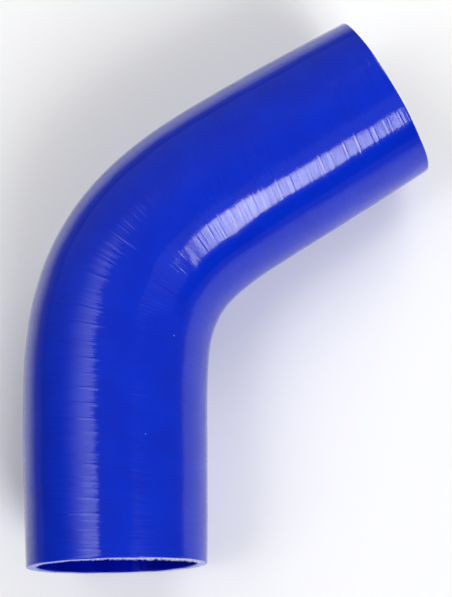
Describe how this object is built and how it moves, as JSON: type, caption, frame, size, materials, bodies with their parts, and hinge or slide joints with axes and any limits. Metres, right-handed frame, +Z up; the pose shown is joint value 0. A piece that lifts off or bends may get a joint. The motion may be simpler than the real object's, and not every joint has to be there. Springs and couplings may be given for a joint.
{
  "type": "silicone elbow hose",
  "caption": "Fabric-reinforced silicone elbow hose, two straight legs joined by one wide bend, square-cut open ends for clamping onto pipe stubs.",
  "frame": {"origin": "under the middle of the bounding box, on the ground plane that the hose lies on", "axes": "+Z up, across the plane of the bend; leg A's cut end faces -Y, and leg B turns off towards +X, 62.2 degrees from +Y"},
  "size_m": [0.2026, 0.2622, 0.09],
  "materials": {
    "silicone": "glossy blue silicone with tape-wrap marks"
  },
  "bodies": {
    "root": {"elbow_hose": "silicone"}
  },
  "joints": []
}
